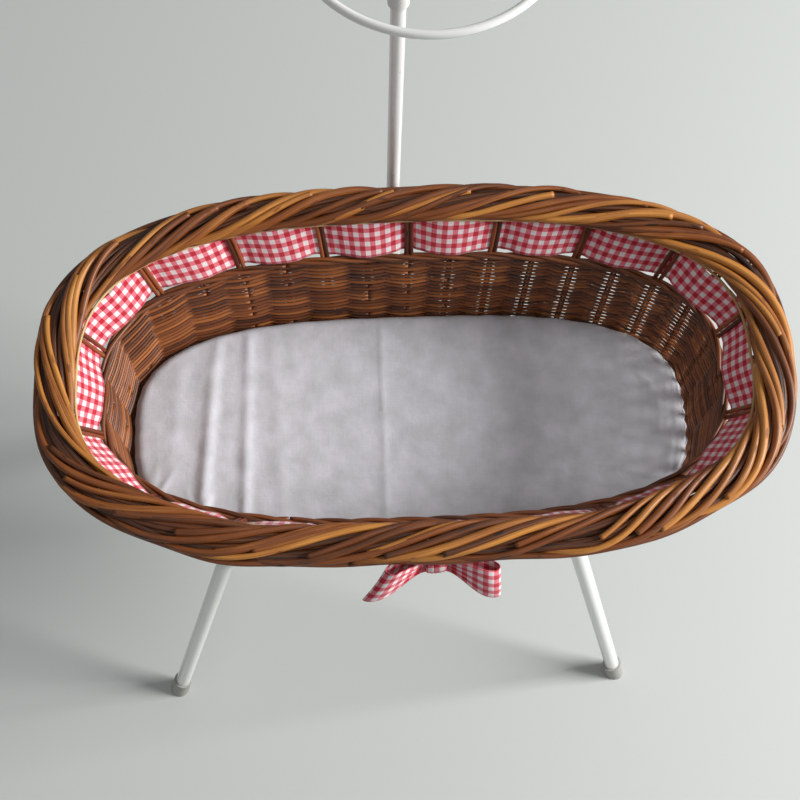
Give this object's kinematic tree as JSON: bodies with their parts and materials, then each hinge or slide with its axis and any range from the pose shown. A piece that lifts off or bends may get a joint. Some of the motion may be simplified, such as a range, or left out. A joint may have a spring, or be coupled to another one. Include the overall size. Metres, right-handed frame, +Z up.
{
  "type": "bassinet on stand",
  "caption": "Oval wicker bassinet with a rolled border, gingham ribbon and mattress, lifted off a white folding tube stand with a canopy pole.",
  "frame": {"origin": "on the floor under the middle of the whole object: the middle of the basket along X, and midway between the bow and the pole socket along Y", "axes": "+Z up, +X along the basket's long side, +Y towards the canopy pole, so the front is -Y"},
  "size_m": [0.86, 0.5246, 1.6285],
  "materials": {
    "white_paint": "gloss white enamel on steel tube, slightly orange-peeled, a few chips at the ends",
    "white_plastic": "satin moulded plastic",
    "zinc_plate": "bright zinc plate",
    "dark_rubber": "matt rubber",
    "foot_rubber": "matt grey rubber",
    "willow_weave": "stained willow rods, randed, satin varnish, golden to dark brown",
    "willow_border": "thick stained willow rods, rolled, satin varnish",
    "willow_stakes": "dark reddish-brown willow rods",
    "pale_willow": "pale unstained willow rod",
    "gingham": "red and white quarter-inch gingham cotton ribbon",
    "mattress_ticking": "plain cotton ticking over foam",
    "cotton_sheet": "white cotton sheet, plain weave, creased"
  },
  "bodies": {
    "cradle": {"front_rail": "white_paint", "rear_rail": "white_paint", "rail_end_plugs": "white_plastic", "left_cross_tube": "white_paint", "right_cross_tube": "white_paint", "locating_buttons": "dark_rubber", "front_left_bracket": "zinc_plate", "front_right_bracket": "zinc_plate", "rear_left_bracket": "zinc_plate", "rear_right_bracket": "zinc_plate", "bracket_screws": "zinc_plate", "pole_outrigger": "white_paint", "pole_socket": "white_paint", "socket_nut": "zinc_plate"},
    "front_legs": {"front_pivot_bar": "white_paint", "front_left_leg": "white_paint", "front_right_leg": "white_paint", "front_stop_pins": "zinc_plate", "front_left_foot": "foot_rubber", "front_right_foot": "foot_rubber"},
    "rear_legs": {"rear_pivot_bar": "white_paint", "rear_left_leg": "white_paint", "rear_right_leg": "white_paint", "rear_stop_pins": "zinc_plate", "rear_left_foot": "foot_rubber", "rear_right_foot": "foot_rubber"},
    "basket": {"basket_base": "willow_weave", "foot_ring": "willow_border", "side_weave": "willow_weave", "top_wale": "willow_border", "band_stakes": "willow_stakes", "hoop_rod": "pale_willow", "rolled_border": "willow_border", "gingham_ribbon": "gingham", "bow_strip": "gingham", "bow_knot": "gingham", "bow_left_loop": "gingham", "bow_right_loop": "gingham"},
    "bedding": {"mattress_core": "mattress_ticking", "fitted_sheet": "cotton_sheet"},
    "pole": {"lower_pole": "white_paint", "pole_ferrule": "white_plastic", "pole_stop_pin": "zinc_plate"},
    "canopy": {"upper_pole": "white_paint", "canopy_arm": "white_paint", "arm_collar": "white_plastic", "drape_ring": "white_paint"},
    "thumbscrew": {"thumbscrew_shank": "zinc_plate", "thumbscrew_knob": "white_plastic"}
  },
  "joints": [
    {"name": "front_leg_fold", "type": "hinge", "parent": "cradle", "child": "front_legs", "pos_m": [-0.016, -0.138, 0.5177], "axis": [1, 0, 0], "range_deg": [0, 99]},
    {"name": "rear_leg_fold", "type": "hinge", "parent": "cradle", "child": "rear_legs", "pos_m": [-0.016, 0.138, 0.4917], "axis": [-1, 0, 0], "range_deg": [0, 99]},
    {"name": "basket_lift", "type": "slide", "parent": "cradle", "child": "basket", "axis": [0, 0, 1], "range_m": [0, 0.3]},
    {"name": "mattress_lift", "type": "slide", "parent": "basket", "child": "bedding", "axis": [0, 0, 1], "range_m": [0, 0.26]},
    {"name": "pole_lift", "type": "slide", "parent": "cradle", "child": "pole", "axis": [0, 0, 1], "range_m": [0, 0.09]},
    {"name": "canopy_turn", "type": "hinge", "parent": "pole", "child": "canopy", "pos_m": [-0.016, 0.25, 1.19], "axis": [0, 0, 1], "continuous": true},
    {"name": "thumbscrew_turn", "type": "hinge", "parent": "cradle", "child": "thumbscrew", "pos_m": [-0.045, 0.25, 0.575], "axis": [-1, 0, 0], "range_deg": [0, 360]}
  ]
}
